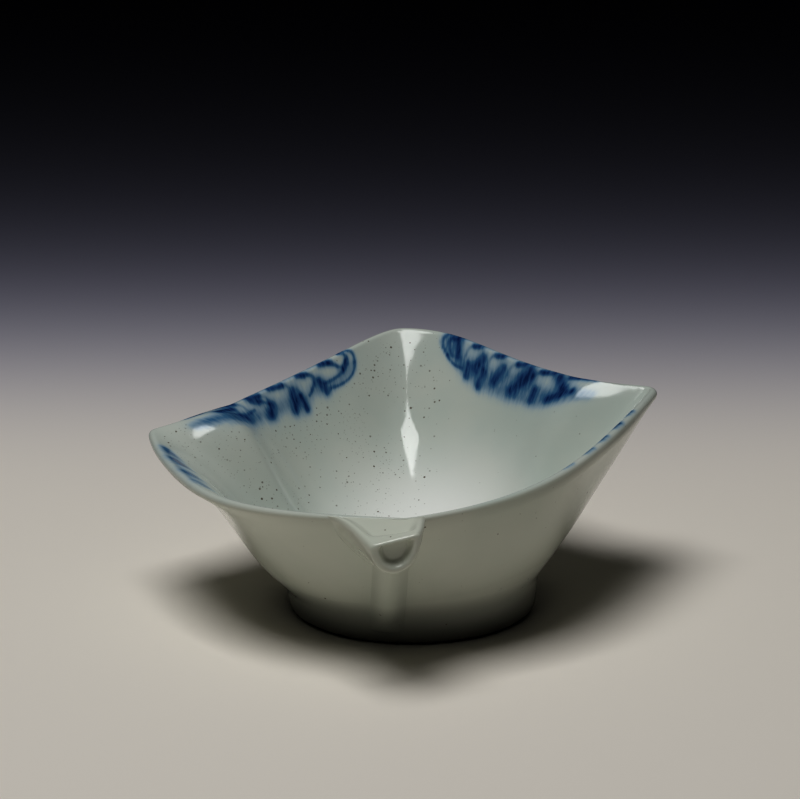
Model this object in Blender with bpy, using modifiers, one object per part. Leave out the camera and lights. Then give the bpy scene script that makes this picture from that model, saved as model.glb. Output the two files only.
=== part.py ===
"""Leaf-shaped porcelain pickle dish: a pressed bowl on a low foot ring, with a leaf stalk at one corner.

Sizes are in millimetres and become metres where a mesh is made. In the bowl's own frame +Y points to the
tip of the leaf, -Y to its stalk and +Z up the bowl's axis. The bowl leans a little on its level foot.
"""

import math

import bmesh
import bpy
import numpy as np
from mathutils import Vector
from mathutils.geometry import interpolate_bezier

MM = 0.001
SEAT_GAP = 0.3

# Crest of the rim on the right half of the leaf: its corners, and the curve handles between them.
STALK_CORNER = (0.0, -39.0, 30.6)
STALK_HANDLE = (20.3, -37.8, 30.6)
SIDE_FRONT_HANDLE = (42.0, -15.2, 28.8)
SIDE_CORNER = (48.2, 2.4, 38.0)
SIDE_BACK_HANDLE = (38.0, 5.2, 34.8)
TIP_HANDLE = (10.4, 42.7, 41.3)
TIP_CORNER = (0.0, 42.8, 41.3)

# Hand-made unevenness: one side corner sits further back, the midline of the leaf bows sideways, the bowl
# leans and sits off the middle of its foot, and its side corners are pulled out, more on the left, so that
# the wall hollows below them.
SIDE_SKEW = 4.8
MIDLINE_BOW = 1.6
LEAN_SIDEWAYS = math.radians(3.7)
LEAN_BACK = math.radians(0.6)
OFF_CENTRE = 0.6
LEFT_PULL = 2.6
RIGHT_PULL = 0.8
PULL_SPREAD = math.radians(22.0)

# Wall: thin at the lip, thicker at the base, with a rounded lip.
LIP_THICKNESS = 1.9
BASE_THICKNESS = 3.0
LIP_INSET = 0.973
LIP_ROUNDING = 0.8
CORNER_SOFTNESS = math.radians(9.0)
LIP_SOFTNESS = math.radians(1.1)

# Inside of the bowl: a flat floor that turns up into the wall.
FLOOR_HEIGHT = 6.1
FLOOR_RADIUS = 11.0
TURN_RADIUS = 25.8
TURN_STIFFNESS = 0.3

COLUMNS_PER_SIDE = 18
WALL_LEVELS = 12

# Foot ring, turned and slightly narrower at the bottom.
FOOT_BASE_RADIUS = 23.05
FOOT_TOP_RADIUS = 23.8
FOOT_INNER_RADIUS = 19.4
FOOT_HEIGHT = 9.0
FOOT_EDGE = 0.6
FOOT_STEPS = 72

# Leaf stalk: a stub that runs out of the rim, wider at its root, and a half-round rib below it.
STUB_ROOT = ((-17.3, -33.0, 31.3), (4.6, -33.0, 31.1))
STUB_SHOULDER = ((-14.0, -38.6, 31.1), (4.2, -40.0, 31.1))
STUB_NECK = ((-10.4, -43.2, 30.0), (3.8, -42.4, 30.7))
STUB_END = ((-8.2, -46.9, 28.8), (3.6, -44.2, 30.4))
STUB_ROOT_DEPTH = 11.0
STUB_END_DEPTH = 6.8
STUB_ROOT_BELLY = 0.55
STUB_TROUGH = 0.8
STUB_EDGE = 0.9
STUB_DISH = 1.0
RIB_TOP = (-3.8, 24.0)
RIB_BOTTOM = (-4.6, 6.4)
RIB_RADIUS = 3.3
RIB_RELIEF = 1.9
RIB_POINTS = 12


def new_collection(name):
    collection = bpy.data.collections.new(name)
    bpy.context.scene.collection.children.link(collection)
    return collection


def glaze(name, color, roughness):
    """A glazed porcelain material of the given colour."""
    material = bpy.data.materials.new(name)
    material.use_nodes = True
    shader = material.node_tree.nodes["Principled BSDF"]
    shader.inputs["Base Color"].default_value = (*color, 1.0)
    shader.inputs["Roughness"].default_value = roughness
    shader.inputs["Metallic"].default_value = 0.0
    return material


def add_object(name, mesh, collection, parent, material=None):
    """Put a mesh into the scene as a named object under its parent."""
    obj = bpy.data.objects.new(name, mesh)
    obj.parent = parent
    collection.objects.link(obj)
    if material:
        mesh.materials.append(material)
        mesh.shade_smooth()
        mesh.set_sharp_from_angle(angle=math.radians(45))
    return obj


def soften(values, spread):
    """Blur values that run right round the rim with a bell of the given spread in radians."""
    waves = np.fft.rfft(values)
    orders = np.arange(len(waves))
    return np.fft.irfft(waves * np.exp(-0.5 * (orders * spread) ** 2), len(values))


def rim_crest(per_side):
    """Points along the crest: stalk to side corner to leaf tip, mirrored to the other half, then warped."""
    stretches = (
        (STALK_CORNER, STALK_HANDLE, SIDE_FRONT_HANDLE, SIDE_CORNER),
        (SIDE_CORNER, SIDE_BACK_HANDLE, TIP_HANDLE, TIP_CORNER),
    )
    front, back = (interpolate_bezier(*map(Vector, knots), per_side + 1) for knots in stretches)
    right = np.array(front[:-1] + back)
    left = (right * (-1.0, 1.0, 1.0))[-2:0:-1]
    crest = np.vstack([right, left])
    crest[:, 0] += MIDLINE_BOW * (crest[:, 1] / TIP_CORNER[1]) ** 2
    crest[:, 1] += SIDE_SKEW * crest[:, 0] / SIDE_CORNER[0]
    return crest


def polar(points):
    """Angle, distance from the axis and height of each point."""
    return np.arctan2(points[:, 1], points[:, 0]), np.hypot(points[:, 0], points[:, 1]), points[:, 2]


def around(angles, source, values):
    """Values given at source angles, read at other angles round the axis."""
    return np.interp(angles, source, values, period=2 * math.pi)


def side_pull(angles):
    """How far the wall hollows below the side corners: a bell round each corner's angle."""
    hollow = np.zeros_like(angles)
    for side, pull in ((1.0, RIGHT_PULL), (-1.0, LEFT_PULL)):
        corner = math.atan2(SIDE_CORNER[1] + side * SIDE_SKEW, side * SIDE_CORNER[0])
        apart = np.angle(np.exp(1j * (angles - corner)))
        hollow += pull * np.exp(-0.5 * (apart / PULL_SPREAD) ** 2)
    return hollow


def wall_rings(beyond=0.0):
    """Rings of the inner wall, floor to lip, and the share of the way up of each ring.

    Each column is a curve in an upright plane through the axis: flat along the floor, then turning into a
    nearly straight wall that ends at the lip. Corners are soft at the floor and sharpen towards the lip.
    With beyond, one more ring carries the wall on past the lip by that share of its height.
    """
    fine = np.linspace(-math.pi, math.pi, 720, endpoint=False)
    crest_angle, crest_radius, crest_height = polar(rim_crest(120))
    radius_fine = around(fine, crest_angle, crest_radius)
    height_fine = soften(around(fine, crest_angle, crest_height), LIP_SOFTNESS)
    columns = np.sort(polar(rim_crest(COLUMNS_PER_SIDE))[0])
    sharp = LIP_INSET * around(columns, fine, soften(radius_fine, LIP_SOFTNESS))
    soft = LIP_INSET * around(columns, fine, soften(radius_fine, CORNER_SOFTNESS))
    lip_height = around(columns, fine, height_fine)

    share = np.linspace(0.0, 1.0, WALL_LEVELS + 1)[:, None]
    lip_radius = soft + (sharp - soft) * share**2
    turn_radius = TURN_RADIUS + TURN_STIFFNESS * (lip_radius - TURN_RADIUS)
    turn_height = FLOOR_HEIGHT + TURN_STIFFNESS * (lip_height - FLOOR_HEIGHT)
    start, near = (1 - share) ** 3, 3 * (1 - share) ** 2 * share
    far, end = 3 * (1 - share) * share**2, share**3
    radius = start * FLOOR_RADIUS + near * TURN_RADIUS + far * turn_radius + end * lip_radius
    height = (start + near) * FLOOR_HEIGHT + far * turn_height + end * lip_height
    radius = radius - side_pull(columns) * 4.0 * end * (1.0 - end)
    if beyond:
        radius = np.vstack([radius, radius[-1] + beyond * (sharp - TURN_RADIUS)])
        height = np.vstack([height, height[-1] + beyond * (lip_height - FLOOR_HEIGHT)])
        share = np.vstack([share, [[1.0]]])
    rings = np.stack([radius * np.cos(columns), radius * np.sin(columns), height], axis=-1)
    return rings, share[:, 0]


def loft(name, rings, capped):
    """Join rings into a surface that is closed at its floor, and above too if capped.

    Faces of an open surface look up into the bowl. Those of a capped one look out.
    """
    levels, count = rings.shape[:2]
    mesh = bpy.data.meshes.new(name)
    form = bmesh.new()
    grid = [[form.verts.new(point * MM) for point in ring] for ring in rings]
    floor_middle = form.verts.new(Vector((0.0, 0.0, rings[0, 0, 2])) * MM)
    for i in range(count):
        j = (i + 1) % count
        form.faces.new((floor_middle, grid[0][i], grid[0][j]))
        for k in range(levels - 1):
            form.faces.new((grid[k][i], grid[k + 1][i], grid[k + 1][j], grid[k][j]))
    if capped:
        top_middle = form.verts.new(Vector(rings[-1].mean(axis=0)) * MM)
        for i in range(count):
            form.faces.new((grid[-1][(i + 1) % count], grid[-1][i], top_middle))
        bmesh.ops.reverse_faces(form, faces=form.faces)
    form.to_mesh(mesh)
    form.free()
    return mesh


def weigh_wall(obj, shares, count):
    """A vertex group with each ring's thickness as a part of the base's, the middle of the floor last."""
    group = obj.vertex_groups.new(name="wall")
    lip_part = LIP_THICKNESS / BASE_THICKNESS
    for level, share in enumerate(shares):
        ring = list(range(level * count, (level + 1) * count))
        group.add(ring, 1.0 + (lip_part - 1.0) * float(share), "REPLACE")
    rest = list(range(len(shares) * count, len(obj.data.vertices)))
    group.add(rest, 1.0, "REPLACE")
    return group.name


def make_bowl(collection, parent, material):
    """The pressed bowl: the inner wall as a loft, thickened outwards, with its lip rounded."""
    rings, shares = wall_rings()
    bowl = add_object("bowl", loft("bowl", rings, False), collection, parent, material)
    shell = bowl.modifiers.new("wall", "SOLIDIFY")
    shell.thickness = BASE_THICKNESS * MM
    shell.offset = -1.0
    shell.use_even_offset = True
    shell.vertex_group = weigh_wall(bowl, shares, rings.shape[1])
    lip = bowl.modifiers.new("lip", "BEVEL")
    lip.limit_method = "ANGLE"
    lip.angle_limit = math.radians(50)
    lip.width = LIP_ROUNDING * MM
    lip.segments = 3
    return bowl


def let_out(obj, name, amount, vertex_group=""):
    """Push a closed form outwards by an amount."""
    swell = obj.modifiers.new(name, "DISPLACE")
    swell.direction = "NORMAL"
    swell.mid_level = 0.0
    swell.strength = amount * MM
    swell.vertex_group = vertex_group


def as_cutter(obj):
    obj.display_type = "WIRE"
    obj.hide_render = True
    return obj


def make_bowl_seat(collection, parent):
    """The outer form of the bowl, filled and let out by the gap, to cut what sits against the bowl."""
    rings, shares = wall_rings(beyond=0.3)
    seat = add_object("bowl_seat", loft("bowl_seat", rings, True), collection, parent)
    let_out(seat, "wall", BASE_THICKNESS, weigh_wall(seat, shares, rings.shape[1]))
    let_out(seat, "gap", SEAT_GAP)
    return as_cutter(seat)


def cut_to_seat(obj, seat):
    """Trim a piece where it would run into the bowl."""
    trim = obj.modifiers.new("seat", "BOOLEAN")
    trim.operation = "DIFFERENCE"
    trim.object = seat


def make_foot_ring(collection, parent, material, seat):
    """The foot: a turned ring with eased bottom edges, cut on top to the leaning bowl."""
    profile = (
        (FOOT_TOP_RADIUS, FOOT_HEIGHT),
        (FOOT_BASE_RADIUS, FOOT_EDGE),
        (FOOT_BASE_RADIUS - FOOT_EDGE, 0.0),
        (FOOT_INNER_RADIUS + FOOT_EDGE, 0.0),
        (FOOT_INNER_RADIUS, FOOT_EDGE),
        (FOOT_INNER_RADIUS - FOOT_EDGE, FOOT_HEIGHT),
    )
    mesh = bpy.data.meshes.new("foot_ring")
    points = [(radius * MM, 0.0, height * MM) for radius, height in profile]
    edges = [(i, (i + 1) % len(points)) for i in range(len(points))]
    mesh.from_pydata(points, edges, [])
    ring = add_object("foot_ring", mesh, collection, parent, material)
    turn = ring.modifiers.new("turn", "SCREW")
    turn.steps = turn.render_steps = FOOT_STEPS
    turn.use_merge_vertices = True
    turn.merge_threshold = 0.00001
    cut_to_seat(ring, seat)
    return ring


def stub_section(edges, depth, belly):
    """One cross-section of the stub between its two top edges: a troughed top and a round underside.

    The belly is the underside's width as a part of the top's.
    """
    left, right = Vector(edges[0]), Vector(edges[1])
    middle = (left + right) / 2
    half = (right - left) / 2
    down = Vector((0.0, 0.0, -1.0))
    outline = (
        (-1.0, 0.35 * STUB_EDGE),
        (-0.84, -0.1 * STUB_EDGE),
        (-0.4, STUB_TROUGH),
        (0.4, STUB_TROUGH),
        (0.84, -0.1 * STUB_EDGE),
        (1.0, 0.35 * STUB_EDGE),
        (0.98 * belly, 0.45 * depth),
        (0.6 * belly, 0.92 * depth),
        (0.0, 1.02 * depth),
        (-0.6 * belly, 0.92 * depth),
        (-0.98 * belly, 0.45 * depth),
    )
    return [middle + half * across + down * below for across, below in outline]


def stub_mesh(name):
    """The stub's cage: sections from inside the wall out to an end that is dished."""
    stations = (STUB_ROOT, STUB_SHOULDER, STUB_NECK, STUB_END)
    depths = np.linspace(STUB_ROOT_DEPTH, STUB_END_DEPTH, len(stations))
    bellies = np.linspace(STUB_ROOT_BELLY, 1.0, len(stations))
    mesh = bpy.data.meshes.new(name)
    form = bmesh.new()
    sections = [stub_section(*row) for row in zip(stations, depths, bellies)]
    rows = [[form.verts.new(point * MM) for point in section] for section in sections]
    count = len(rows[0])
    for near, far in zip(rows, rows[1:]):
        for i in range(count):
            j = (i + 1) % count
            form.faces.new((near[i], far[i], far[j], near[j]))
    form.faces.new(rows[0])
    end = form.faces.new(rows[-1][::-1])
    bmesh.ops.recalc_face_normals(form, faces=form.faces)
    for inset, depth in ((0.3 * STUB_EDGE, 0.6 * STUB_EDGE), (STUB_EDGE, 0.0), (STUB_EDGE, -STUB_DISH)):
        bmesh.ops.inset_individual(form, faces=[end], thickness=inset * MM, depth=depth * MM)
    form.to_mesh(mesh)
    form.free()
    return mesh


def smooth_cage(obj):
    rounding = obj.modifiers.new("smooth", "SUBSURF")
    rounding.levels = rounding.render_levels = 2


def make_stub(collection, parent, material, seat):
    """The stalk stub, smoothed from its cage and cut to the bowl."""
    stub = add_object("stalk_stub", stub_mesh("stalk_stub"), collection, parent, material)
    smooth_cage(stub)
    cut_to_seat(stub, seat)
    return stub


def make_stub_seat(collection, parent):
    """The stub let out by the gap, to cut the top of the rib."""
    seat = add_object("stub_seat", stub_mesh("stub_seat"), collection, parent)
    smooth_cage(seat)
    let_out(seat, "gap", SEAT_GAP)
    return as_cutter(seat)


def make_foot_seat(collection, parent):
    """The foot's outer cone let out by the gap, to cut the foot of the rib."""
    form = bmesh.new()
    bmesh.ops.create_cone(
        form,
        cap_ends=True,
        segments=FOOT_STEPS,
        radius1=(FOOT_BASE_RADIUS + SEAT_GAP) * MM,
        radius2=(FOOT_TOP_RADIUS + SEAT_GAP) * MM,
        depth=FOOT_HEIGHT * MM,
    )
    mesh = bpy.data.meshes.new("foot_seat")
    form.to_mesh(mesh)
    form.free()
    seat = add_object("foot_seat", mesh, collection, parent)
    seat.location.z = FOOT_HEIGHT / 2 * MM
    return as_cutter(seat)


def rib_line():
    """Reach and height of the rod's middle line: it follows the front of the wall, below the outer skin."""
    rings, shares = wall_rings()
    front = np.argmin(rings[-1, :, 1])
    reach, height = -rings[:, front, 1], rings[:, front, 2]
    run, rise = np.gradient(reach), np.gradient(height)
    wall = BASE_THICKNESS + (LIP_THICKNESS - BASE_THICKNESS) * shares
    out = (wall + RIB_RELIEF - RIB_RADIUS) / np.hypot(run, rise)
    return reach + out * rise, height - out * run


def make_rib(collection, parent, material, seats):
    """The rib: a round rod laid along the front of the wall, sunk in it so that its relief stands out."""
    reach, height = rib_line()
    heights = np.linspace(RIB_TOP[1], RIB_BOTTOM[1], RIB_POINTS)
    across = np.linspace(RIB_TOP[0], RIB_BOTTOM[0], RIB_POINTS)
    path = bpy.data.curves.new("rib_rod", "CURVE")
    path.dimensions = "3D"
    path.bevel_depth = RIB_RADIUS * MM
    path.bevel_resolution = 4
    path.use_fill_caps = True
    spline = path.splines.new("POLY")
    spline.points.add(RIB_POINTS - 1)
    for point, x, z in zip(spline.points, across, heights):
        point.co = (x * MM, -np.interp(z, height, reach) * MM, z * MM, 1.0)
    spline.points[-1].radius = 0.8
    rod = bpy.data.objects.new("rib_rod", path)
    collection.objects.link(rod)
    bpy.context.view_layer.update()
    mesh = bpy.data.meshes.new_from_object(rod.evaluated_get(bpy.context.evaluated_depsgraph_get()))
    mesh.name = "stalk_rib"
    bpy.data.objects.remove(rod, do_unlink=True)
    form = bmesh.new()
    form.from_mesh(mesh)
    bmesh.ops.remove_doubles(form, verts=form.verts, dist=0.00001)
    form.to_mesh(mesh)
    form.free()
    rib = add_object("stalk_rib", mesh, collection, parent, material)
    for seat in seats:
        cut_to_seat(rib, seat)
    return rib


def centre_on_axes(stand, parts):
    """Move the stand so that the box round all the pieces is centred over the origin."""
    bpy.context.view_layer.update()
    depsgraph = bpy.context.evaluated_depsgraph_get()
    corners = []
    for obj in parts.objects:
        if obj.type == "MESH":
            ready = obj.evaluated_get(depsgraph)
            corners += [ready.matrix_world @ vertex.co for vertex in ready.data.vertices]
    corners = np.array(corners)
    middle = (corners.min(axis=0) + corners.max(axis=0)) / 2
    stand.location = (-middle[0], -middle[1], 0.0)


def main():
    for obj in list(bpy.data.objects):
        bpy.data.objects.remove(obj, do_unlink=True)
    parts = new_collection("pickle_dish")
    cutters = new_collection("cutters")
    stand = bpy.data.objects.new("dish_stand", None)
    lean = bpy.data.objects.new("bowl_lean", None)
    lean.parent = stand
    lean.rotation_euler = (LEAN_BACK, -LEAN_SIDEWAYS, 0.0)
    lean.location.x = OFF_CENTRE * MM
    parts.objects.link(stand)
    parts.objects.link(lean)
    bowl_seat = make_bowl_seat(cutters, lean)
    stub_seat = make_stub_seat(cutters, lean)
    foot_seat = make_foot_seat(cutters, stand)
    make_bowl(parts, lean, glaze("bowl_glaze", (0.66, 0.70, 0.67), 0.12))
    make_foot_ring(parts, stand, glaze("foot_glaze", (0.62, 0.66, 0.61), 0.18), bowl_seat)
    make_stub(parts, lean, glaze("stub_glaze", (0.64, 0.68, 0.64), 0.14), bowl_seat)
    make_rib(parts, lean, glaze("rib_glaze", (0.63, 0.67, 0.62), 0.14), (bowl_seat, stub_seat, foot_seat))
    centre_on_axes(stand, parts)


main()
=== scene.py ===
# %% [markdown]
# # A leaf-shaped pickle dish
# The real dish is porcelain: a bowl pressed in a leaf-shaped mould, a turned foot ring, a stub of
# leaf stalk at one corner and a rib below it. They were stuck together with slip, painted in
# cobalt blue, glazed and fired. This lesson works out each piece as a surface with numpy, in
# millimetres, then mixes the glaze and the paint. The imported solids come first, because they fix
# every place and size.

# %% Load the frame
import math

import bpy
import numpy as np
from mathutils import Matrix, Vector


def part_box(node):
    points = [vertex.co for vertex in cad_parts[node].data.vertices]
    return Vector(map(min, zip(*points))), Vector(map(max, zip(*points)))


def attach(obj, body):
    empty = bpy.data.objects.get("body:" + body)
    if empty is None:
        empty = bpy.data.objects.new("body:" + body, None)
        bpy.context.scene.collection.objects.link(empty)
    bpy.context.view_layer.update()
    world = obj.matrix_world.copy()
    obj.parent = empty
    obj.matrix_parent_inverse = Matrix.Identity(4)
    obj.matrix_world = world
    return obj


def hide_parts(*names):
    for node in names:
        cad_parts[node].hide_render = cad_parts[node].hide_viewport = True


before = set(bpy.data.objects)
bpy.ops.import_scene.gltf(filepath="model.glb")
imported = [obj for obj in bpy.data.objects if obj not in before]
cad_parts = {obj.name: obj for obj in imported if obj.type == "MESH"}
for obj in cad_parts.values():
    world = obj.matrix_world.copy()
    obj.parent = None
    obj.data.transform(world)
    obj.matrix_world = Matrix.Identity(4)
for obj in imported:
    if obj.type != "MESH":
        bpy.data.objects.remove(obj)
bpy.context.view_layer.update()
MM = 0.001
ON_TABLE = 0.01


def add_object(name, data):
    """A new object in the scene."""
    thing = bpy.data.objects.new(name, data)
    bpy.context.scene.collection.objects.link(thing)
    return thing


def between(start, end, part):
    """The value that lies a part of the way from start to end."""
    return start + (end - start) * part


foot_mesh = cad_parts["foot_ring"].data
foot_points = np.empty(3 * len(foot_mesh.vertices), np.float32)
foot_mesh.vertices.foreach_get("co", foot_points)
foot_points = foot_points.reshape(-1, 3).astype(float) / MM
standing = foot_points[foot_points[:, 2] < ON_TABLE]
foot_centre = (standing.min(axis=0) + standing.max(axis=0)) / 2
print("nodes", sorted(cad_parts), "foot centre", foot_centre.round(3))

# %% [markdown]
# ## The camera
# The dish was seen from a little above, through a long lens from a step away. The camera stands
# at that place, and is turned until the middle of the foot falls on its pixel. Turning the
# camera, and not shifting its lens, keeps other views centred.

# %% Camera
PHOTO_WIDTH, PHOTO_HEIGHT = 800, 799
FOOT_PIXEL = (412.0, 602.4)
FOCAL_PIXELS = 4000.0
CAMERA_DISTANCE = 750.0
CAMERA_RISE = math.radians(19.975)
SENSOR_WIDTH = 36.0

lens = bpy.data.cameras.new("camera")
lens.sensor_width = SENSOR_WIDTH
lens.lens = SENSOR_WIDTH * FOCAL_PIXELS / PHOTO_WIDTH
camera = add_object("camera", lens)
bpy.context.scene.camera = camera
sideways = Vector((1.0, 0.0, 0.0))
to_foot = Vector((0.0, math.cos(CAMERA_RISE), -math.sin(CAMERA_RISE)))
upright = sideways.cross(to_foot)
aim = to_foot * FOCAL_PIXELS
aim += upright * (FOOT_PIXEL[1] - PHOTO_HEIGHT / 2)
aim -= sideways * (FOOT_PIXEL[0] - PHOTO_WIDTH / 2)
camera.location = (Vector(foot_centre) - to_foot * CAMERA_DISTANCE) * MM
camera.rotation_euler = aim.to_track_quat("-Z", "Y").to_euler()
print("camera", [round(x, 4) for x in camera.location], "lens", lens.lens)

# %% [markdown]
# ## The rim
# Seen from above the rim is a leaf: a rounded tip at the back, two drawn-out side corners, and a
# front that runs into the stalk. Each half is two cubic curves between those corners. The halves
# differ a little, as a hand-pressed dish does. The tip reaches further back and lower than on the
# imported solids, as the light in the bowl and the shadows show.

# %% Rim crest
# Places in the bowl's own frame, in millimetres to the right, to the back and up.
STALK_CORNER = (0.3, -40.0, 30.7)
TIP_CORNER = (-0.2, 55.4, 37.8)
RIGHT_CORNER = (48.9, 23.2, 32.6)
LEFT_CORNER = (-49.4, 12.2, 33.5)
# Handles of the curves: near the stalk, before the side corner, after it, and near the tip.
RIGHT_HANDLES = ((27.5, -26.2, 28.4), (34.8, -18.5, 33.6),
                 (17.0, 32.0, 34.1), (17.5, 54.4, 37.1))
LEFT_HANDLES = ((-29.6, -33.2, 31.6), (-42.2, -20.5, 29.5),
                (-25.7, 28.0, 33.1), (-6.0, 55.8, 38.1))
TIP_ANGLE = math.atan2(TIP_CORNER[1], TIP_CORNER[0])
CREST_STEPS = 400
FINE_ANGLES = 1440
FULL_TURN = 2 * math.pi


def cubic(knots, count):
    """Points on a cubic curve: each of four knots times its Bernstein weight, at even steps."""
    step = np.linspace(0.0, 1.0, count)[:, None]
    weights = ((1 - step) ** 3, 3 * (1 - step) ** 2 * step, 3 * (1 - step) * step**2, step**3)
    return sum(weight * np.array(knot) for weight, knot in zip(weights, knots))


def half_rim(corner, handles):
    """One half of the crest, from the stalk past its side corner to just before the tip."""
    front = cubic((STALK_CORNER, handles[0], handles[1], corner), CREST_STEPS + 1)
    back = cubic((corner, handles[2], handles[3], TIP_CORNER), CREST_STEPS + 1)
    return np.vstack([front[:-1], back[:-1]])


right, left = half_rim(RIGHT_CORNER, RIGHT_HANDLES), half_rim(LEFT_CORNER, LEFT_HANDLES)
crest = np.vstack([right, [TIP_CORNER], left[:0:-1]])
crest_angle = np.arctan2(crest[:, 1], crest[:, 0])
fine_angle = np.linspace(-math.pi, math.pi, FINE_ANGLES, endpoint=False)
crest_radius = np.hypot(crest[:, 0], crest[:, 1])
rim_radius = np.interp(fine_angle, crest_angle, crest_radius, period=FULL_TURN)
rim_height = np.interp(fine_angle, crest_angle, crest[:, 2], period=FULL_TURN)
print("rim reaches", crest.min(axis=0).round(1), "to", crest.max(axis=0).round(1), "mm")

# %% [markdown]
# ## The wall of the bowl
# Every upright slice of the bowl is one curve: flat along the floor, then turning into a wall
# that is nearly straight up to the lip. A loft does that well: the slice is a cubic curve whose
# last point follows the rim. The corners are blurred at the floor and sharpen on the way up, so
# the leaf shape grows out of a round well.

# %% Wall
LIP_INSET = 0.973
LIP_SOFTNESS = math.radians(0.8)
CORNER_SOFTNESS = math.radians(9.0)
FLOOR_HEIGHT = 8.3
FLOOR_RADIUS = 11.0
TURN_RADIUS = 24.6
TURN_STIFFNESS = 0.3
# Hollows of the wall in front on each side, and a bulge below the right corner: depth inwards, and
# angle and spread in degrees.
RIGHT_HOLLOW = (0.9, -14.0, 14.0)
RIGHT_BULGE = (-1.0, 22.0, 12.0)
LEFT_HOLLOW = (3.0, -170.0, 26.0)
# The fold below the tip. Its place and span are shares of the way up.
FOLD_DEPTH = 3.3
FOLD_SPREAD = 7.5
FOLD_SHARE, FOLD_SPAN = 0.67, 0.17
FOLD_LEAN = 5.0
# Side corners that flare like ears, and flanges in front of them: lift of the wall below the lip,
# order (the higher, the nearer to the lip), angle and spread.
RIGHT_EAR = (1.5, 3.2, 37.0, 6.5)
LEFT_EAR = (2.7, 2.5, 155.0, 9.0)
RIGHT_FLANGE = (0.2, 9.0, 8.0, 14.0)
LEFT_FLANGE = (1.5, 9.0, -169.0, 13.0)
# Slow waves, in millimetres: the part, turns round the bowl, start and winding of each.
WOBBLE = 0.10
WAVES = ((1.0, 3, 1.1, 2.0), (0.6, 7, -0.7, -5.0), (0.5, 11, 2.3, 9.0))


def soften(values, spread):
    """Blur values round the rim: each wave of the turn fades by exp(-(order x spread)^2 / 2)."""
    waves = np.fft.rfft(values)
    orders = np.arange(len(waves))
    return np.fft.irfft(waves * np.exp(-0.5 * (orders * spread) ** 2), len(values))


def around(angles, values):
    """Values on the fine angles, read at other angles."""
    return np.interp(angles, fine_angle, values, period=FULL_TURN)


def bell(angles, middle, spread):
    """A bell round an angle in degrees: exp(-(angle apart / spread)^2 / 2)."""
    apart = np.angle(np.exp(1j * (angles - np.radians(middle))), deg=True)
    return np.exp(-0.5 * (apart / spread) ** 2)


def wall(angles, share):
    """Inside of the bowl in its own frame: rows of share (0 floor edge, 1 lip), columns of angle.

    Each column is a cubic curve in radius and height, from the floor's edge to the lip. Ears and
    flanges lift it by lift x share^order x (1 - share) of the wall's height. Hollows draw the radius
    in and the bulge pushes it out, most where share^3 is a half. The fold pushes it out below the
    tip, by a bell in angle and one in share. Slow waves of a tenth of a millimetre go over it all.
    """
    share = np.asarray(share)[:, None]
    sharp = LIP_INSET * around(angles, soften(rim_radius, LIP_SOFTNESS))
    soft = LIP_INSET * around(angles, soften(rim_radius, CORNER_SOFTNESS))
    lip_height = around(angles, soften(rim_height, LIP_SOFTNESS))
    lip_radius = between(soft, sharp, share**2)
    turn_radius = between(TURN_RADIUS, lip_radius, TURN_STIFFNESS)
    turn_height = between(FLOOR_HEIGHT, lip_height, TURN_STIFFNESS)
    start, near = (1 - share) ** 3, 3 * (1 - share) ** 2 * share
    far, end = 3 * (1 - share) * share**2, share**3
    radius = start * FLOOR_RADIUS + near * TURN_RADIUS + far * turn_radius + end * lip_radius
    height = (start + near) * FLOOR_HEIGHT + far * turn_height + end * lip_height
    lifted = sum(lift * share**order * bell(angles, *spot)
                 for lift, order, *spot in (RIGHT_EAR, LEFT_EAR, RIGHT_FLANGE, LEFT_FLANGE))
    height = height + lifted * (lip_height - FLOOR_HEIGHT) * (1 - share)
    drawn_in = sum(depth * bell(angles, *spot)
                   for depth, *spot in (RIGHT_HOLLOW, RIGHT_BULGE, LEFT_HOLLOW))
    fold_angle = math.degrees(TIP_ANGLE) + FOLD_LEAN * (share - 0.5)
    fold = FOLD_DEPTH * bell(angles, fold_angle, FOLD_SPREAD)
    fold = fold * np.exp(-0.5 * ((share - FOLD_SHARE) / FOLD_SPAN) ** 2)
    waves = sum(part * np.sin(turns * angles + begin + winding * share)
                for part, turns, begin, winding in WAVES)
    radius = radius - drawn_in * 4 * end * (1 - end) + fold
    radius = radius + WOBBLE * waves * 4 * share * (1 - share)
    return np.stack([radius * np.cos(angles), radius * np.sin(angles), height + 0 * radius], axis=-1)


print("lip at the tip", wall(np.array([TIP_ANGLE]), [1.0])[0, 0].round(1), "mm")

# %% [markdown]
# ## Standing on the foot
# The bowl leans a few degrees and sits a little off the middle of its level foot. One turn and
# one shift carry points from the bowl's own frame to the table, so the pieces themselves stay
# unturned.

# %% Lean
LEAN_SIDEWAYS = math.radians(3.7)
LEAN_BACK = math.radians(0.6)
OFF_CENTRE = 0.6
lean = np.array(Matrix.Rotation(-LEAN_SIDEWAYS, 3, "Y") @ Matrix.Rotation(LEAN_BACK, 3, "X"))


def place(points):
    """Lean points of the bowl's frame, and set them over the foot."""
    return points @ lean.T + foot_centre + (OFF_CENTRE, 0.0, 0.0)


print("tip of the rim over the table", place(np.array(TIP_CORNER)).round(1), "mm")

# %% [markdown]
# ## From a grid to a mesh
# Every piece below is a grid of points that closes round its columns. Its first and last rows
# either join, as on a ring, or close on a middle point. The volume that the faces enclose tells
# if they point outwards: a negative one means that they don't, and then every face is turned
# round.

# %% Grid mesh
def facing(grid, closed=True):
    """Unit normals of a grid: up the rows crossed with along the columns. Closed grids wrap round."""
    if closed:
        wrapped = np.concatenate([grid[:, -1:], grid, grid[:, :1]], axis=1)
        along = np.gradient(wrapped, axis=1)[:, 1:-1]
    else:
        along = np.gradient(grid, axis=1)
    normal = np.cross(np.gradient(grid, axis=0), along)
    return normal / np.linalg.norm(normal, axis=-1, keepdims=True)


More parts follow.
